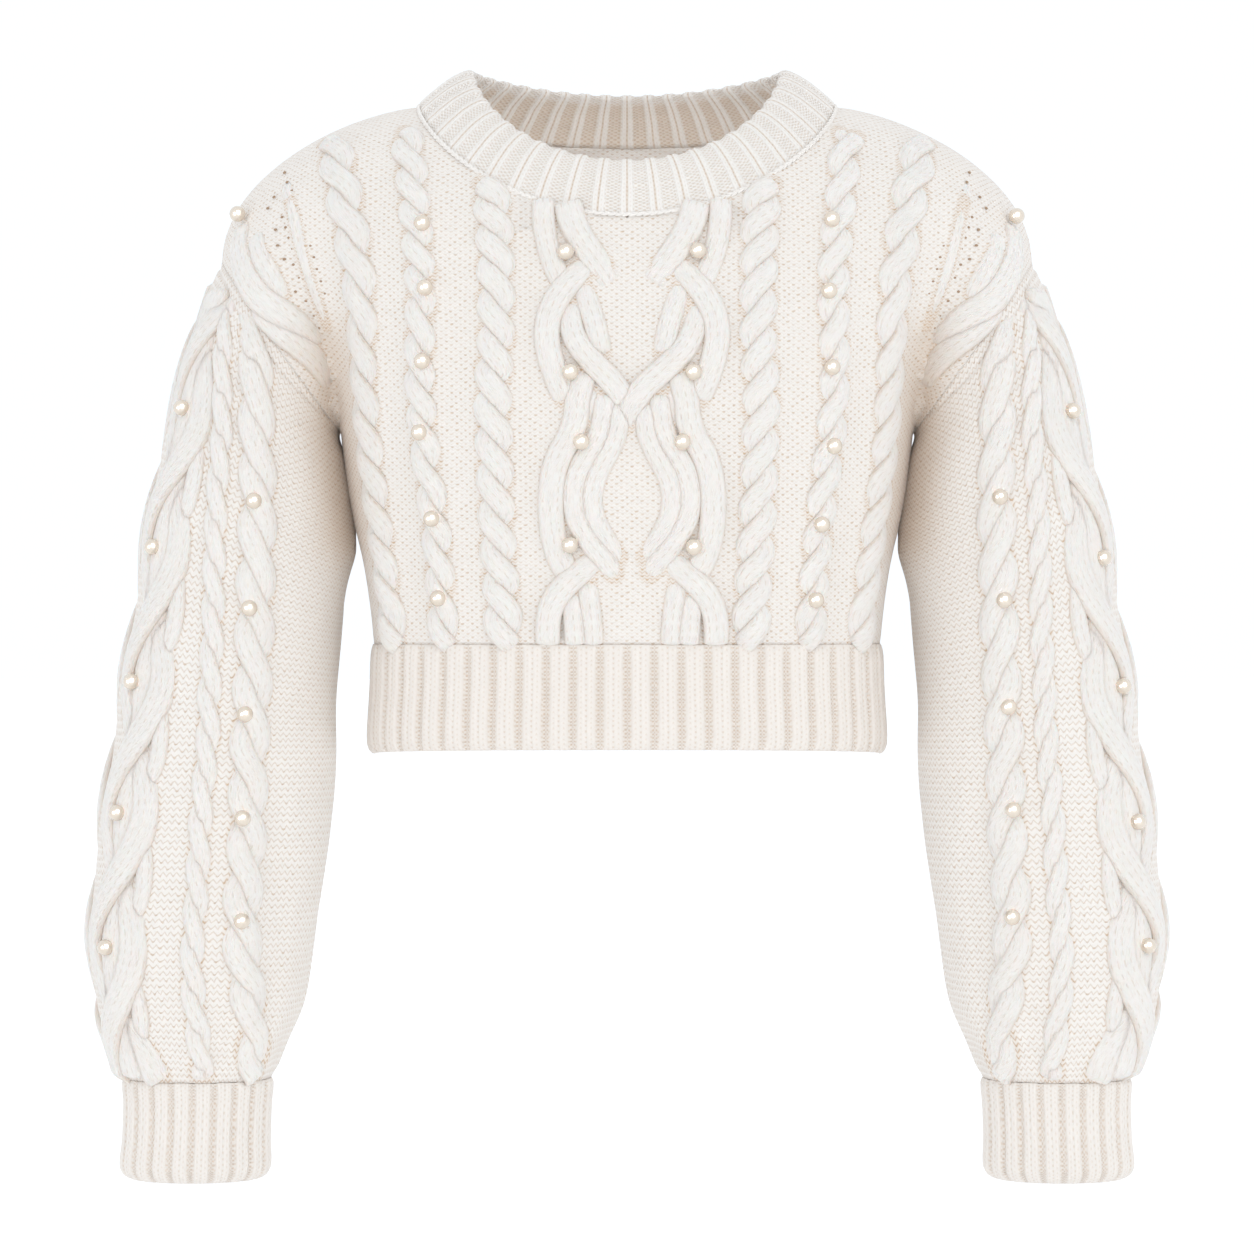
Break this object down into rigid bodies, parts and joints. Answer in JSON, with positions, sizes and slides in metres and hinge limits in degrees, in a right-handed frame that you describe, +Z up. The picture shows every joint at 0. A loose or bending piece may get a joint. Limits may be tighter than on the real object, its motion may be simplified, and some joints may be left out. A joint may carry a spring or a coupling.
{
  "type": "cropped cable-knit sweater",
  "caption": "Cropped, boxy cable-knit pullover with a wide round neck, full balloon sleeves, ribbed hem and cuffs, and pearl beads sewn on its cables, held as if worn.",
  "frame": {"origin": "where the garment rests on the wearer: midway between the two points where the shoulders meet the neck", "axes": "+Z up the wearer's trunk, +X towards the wearer's left, +Y towards the wearer's back"},
  "size_m": [0.6632, 0.2347, 0.686],
  "materials": {
    "wool_cloth": "chunky cream wool knit, cables on a textured ground, soft and slightly fuzzy",
    "wool_rib": "chunky cream wool rib with shaded valleys",
    "pearl_beads": "cream pearl coating, satin gloss"
  },
  "bodies": {
    "root": {"front_panel": "wool_cloth", "back_panel": "wool_cloth", "sleeve_left": "wool_cloth", "sleeve_right": "wool_cloth", "cuff_left": "wool_rib", "cuff_right": "wool_rib", "hem_rib": "wool_rib", "neckband": "wool_rib", "pearl_body_right_1": "pearl_beads", "pearl_body_right_2": "pearl_beads", "pearl_body_right_3": "pearl_beads", "pearl_body_right_4": "pearl_beads", "pearl_body_right_5": "pearl_beads", "pearl_body_right_6": "pearl_beads", "pearl_body_left_1": "pearl_beads", "pearl_body_left_2": "pearl_beads", "pearl_body_left_3": "pearl_beads", "pearl_body_left_4": "pearl_beads", "pearl_body_left_5": "pearl_beads", "pearl_body_left_6": "pearl_beads", "pearl_motif_right_1": "pearl_beads", "pearl_motif_right_2": "pearl_beads", "pearl_motif_right_3": "pearl_beads", "pearl_motif_right_4": "pearl_beads", "pearl_motif_left_1": "pearl_beads", "pearl_motif_left_2": "pearl_beads", "pearl_motif_left_3": "pearl_beads", "pearl_motif_left_4": "pearl_beads", "pearl_shoulder_right_1": "pearl_beads", "pearl_shoulder_left_1": "pearl_beads", "pearl_sleeve_outer_right_1": "pearl_beads", "pearl_sleeve_outer_right_2": "pearl_beads", "pearl_sleeve_outer_right_3": "pearl_beads", "pearl_sleeve_outer_right_4": "pearl_beads", "pearl_sleeve_outer_right_5": "pearl_beads", "pearl_sleeve_outer_left_1": "pearl_beads", "pearl_sleeve_outer_left_2": "pearl_beads", "pearl_sleeve_outer_left_3": "pearl_beads", "pearl_sleeve_outer_left_4": "pearl_beads", "pearl_sleeve_outer_left_5": "pearl_beads", "pearl_sleeve_inner_right_1": "pearl_beads", "pearl_sleeve_inner_right_2": "pearl_beads", "pearl_sleeve_inner_right_3": "pearl_beads", "pearl_sleeve_inner_right_4": "pearl_beads", "pearl_sleeve_inner_right_5": "pearl_beads", "pearl_sleeve_inner_left_1": "pearl_beads", "pearl_sleeve_inner_left_2": "pearl_beads", "pearl_sleeve_inner_left_3": "pearl_beads", "pearl_sleeve_inner_left_4": "pearl_beads", "pearl_sleeve_inner_left_5": "pearl_beads"}
  },
  "joints": []
}
